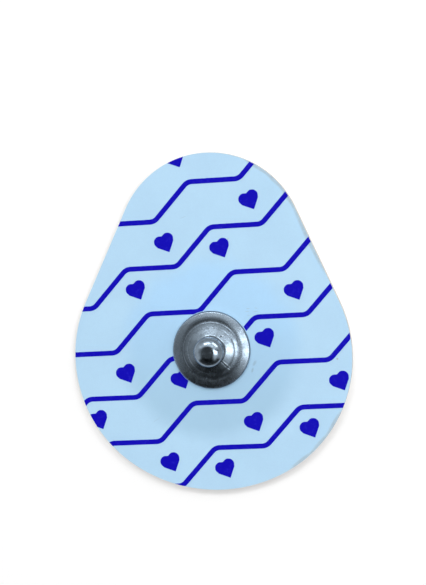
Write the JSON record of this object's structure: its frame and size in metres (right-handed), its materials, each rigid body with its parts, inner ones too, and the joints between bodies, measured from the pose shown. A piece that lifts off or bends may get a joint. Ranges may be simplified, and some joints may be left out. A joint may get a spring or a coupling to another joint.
{
  "type": "ecg electrode",
  "caption": "Teardrop foam skin electrode with a printed cover film, a metal snap stud on top, a gel disc and adhesive below, for picking up the heart's signal.",
  "frame": {"origin": "on the stud's axis, in the plane of the skin face (underside of the gel and the adhesive)", "axes": "+Z along the stud, away from the skin; +Y towards the narrow end of the teardrop; +X across its width"},
  "size_m": [0.037, 0.0446, 0.0047],
  "materials": {
    "adhesive": "clear tacky acrylic coat over white foam",
    "foam": "white closed-cell polyethylene foam, die-cut",
    "film": "pale blue satin polyethylene film",
    "ink": "deep blue printing ink",
    "sensor": "moulded plastic with a grey silver / silver-chloride coat",
    "gel": "wet-looking translucent hydrogel",
    "stud_metal": "nickel-plated drawn metal, slightly dulled"
  },
  "bodies": {
    "root": {"skin_adhesive": "adhesive", "foam_pad": "foam", "cover_film": "film", "heart_wave_print": "ink", "sensor_eyelet": "sensor", "gel_disc": "gel", "snap_stud": "stud_metal"}
  },
  "joints": []
}
